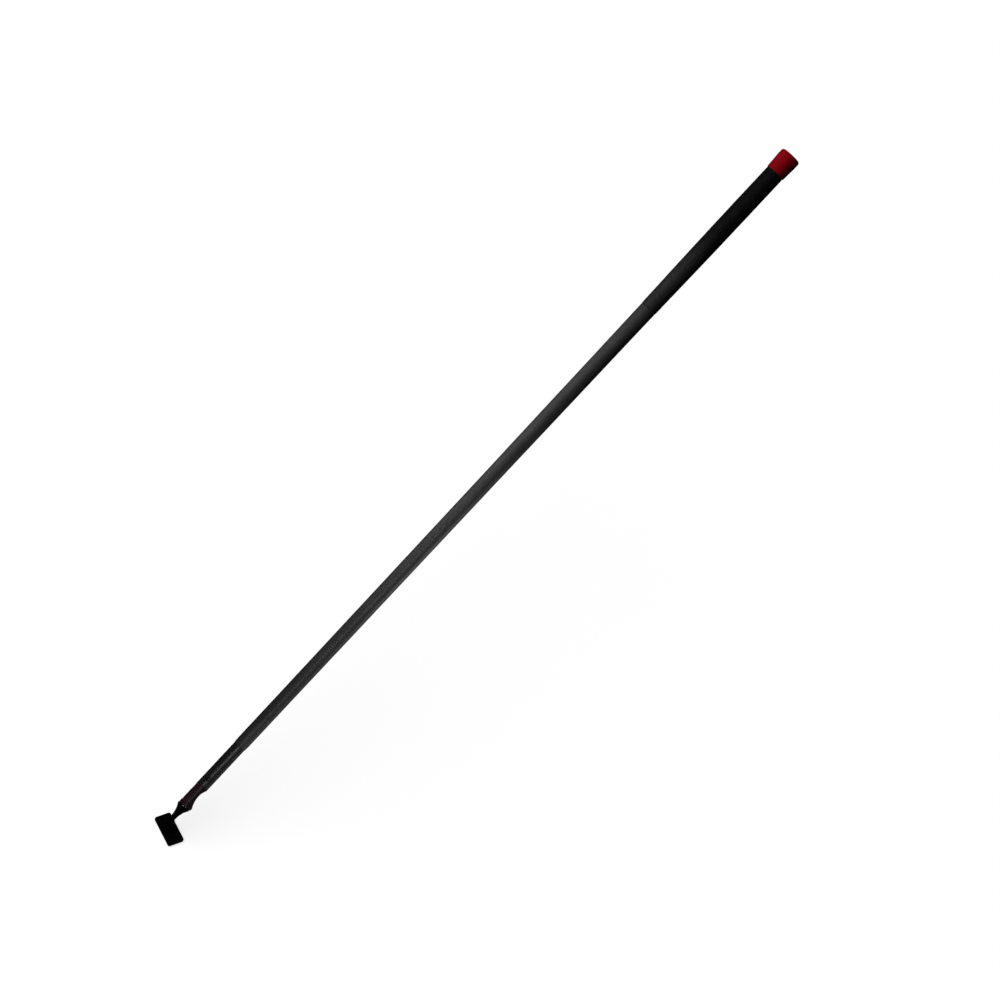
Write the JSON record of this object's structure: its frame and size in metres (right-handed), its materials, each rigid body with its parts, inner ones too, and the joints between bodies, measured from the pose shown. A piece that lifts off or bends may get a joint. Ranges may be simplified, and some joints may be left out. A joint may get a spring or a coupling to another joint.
{
  "type": "tiller extension",
  "caption": "Slender tapered tiller extension: rubber universal joint on a small bolt-down plate, quick-release swivel socket with a finger scoop, sleeved tube, soft grip and red end cap.",
  "frame": {"origin": "middle of the base plate's mounting face, between the two mounting holes", "axes": "+Z is the plate's outward normal, +X runs along the plate's long side through both mounting holes, +Y completes the frame. At rest the stick leans 59.7 degrees from +Z, mostly towards +Y"},
  "size_m": [0.3507, 0.9452, 0.6122],
  "materials": {
    "plate": "moulded matte black",
    "joint_rubber": "moulded satin black rubber",
    "steel": "turned stainless steel",
    "cord": "braided fibre",
    "bearing_plastic": "black acetal",
    "socket_plastic": "satin black moulding",
    "seal_rubber": "smooth",
    "tube_metal": "satin black anodised",
    "rivet_metal": "black",
    "sleeve_rubber": "matte charcoal, fine texture",
    "grip_rubber": "matte black, fine texture",
    "plug_plastic": "moulded",
    "cap_plastic": "deep red, satin gloss",
    "lever_plastic": "dark maroon moulding"
  },
  "bodies": {
    "base": {"base_plate": "plate", "foot_screw": "steel", "lower_insert": "steel", "rubber_joint_lower": "joint_rubber", "safety_cord_lower": "cord"},
    "link": {"rubber_joint_neck": "joint_rubber", "safety_cord_neck": "cord"},
    "head": {"rubber_joint_upper": "joint_rubber", "upper_insert": "steel", "safety_cord_upper": "cord", "swivel_stud": "steel", "thrust_washer": "bearing_plastic"},
    "stick": {"socket_body": "socket_plastic", "swivel_bush": "bearing_plastic", "lever_pin": "steel", "lever_spring": "steel", "socket_o_ring": "seal_rubber", "tube": "tube_metal", "tube_rivets": "rivet_metal", "shaft_sleeve": "sleeve_rubber", "grip": "grip_rubber", "end_plug": "plug_plastic", "plug_o_ring": "seal_rubber", "end_cap": "cap_plastic"},
    "release": {"release_lever": "lever_plastic"}
  },
  "joints": [
    {"name": "bend_lean", "type": "hinge", "parent": "base", "child": "link", "pos_m": [0, 0, 0.0295], "axis": [-0.9464, -0.3229, 0], "range_deg": [-144.7, 25.3]},
    {"name": "bend_cross", "type": "hinge", "parent": "link", "child": "head", "pos_m": [-0.00167, 0.0049, 0.03252], "axis": [-0.1627, 0.4769, -0.8637], "range_deg": [-85, 85]},
    {"name": "stick_swivel", "type": "hinge", "parent": "head", "child": "stick", "pos_m": [-0.00725, 0.02125, 0.0426], "axis": [-0.2789, 0.8175, 0.5039], "continuous": true},
    {"name": "release_press", "type": "hinge", "parent": "stick", "child": "release", "pos_m": [-0.01625, 0.02915, 0.05062], "axis": [-0.415, 0.3706, -0.8309], "range_deg": [0, 10], "stiffness_Nm_per_rad": 0.35, "springref_deg": -8, "deforming": ["lever_spring"]}
  ]
}
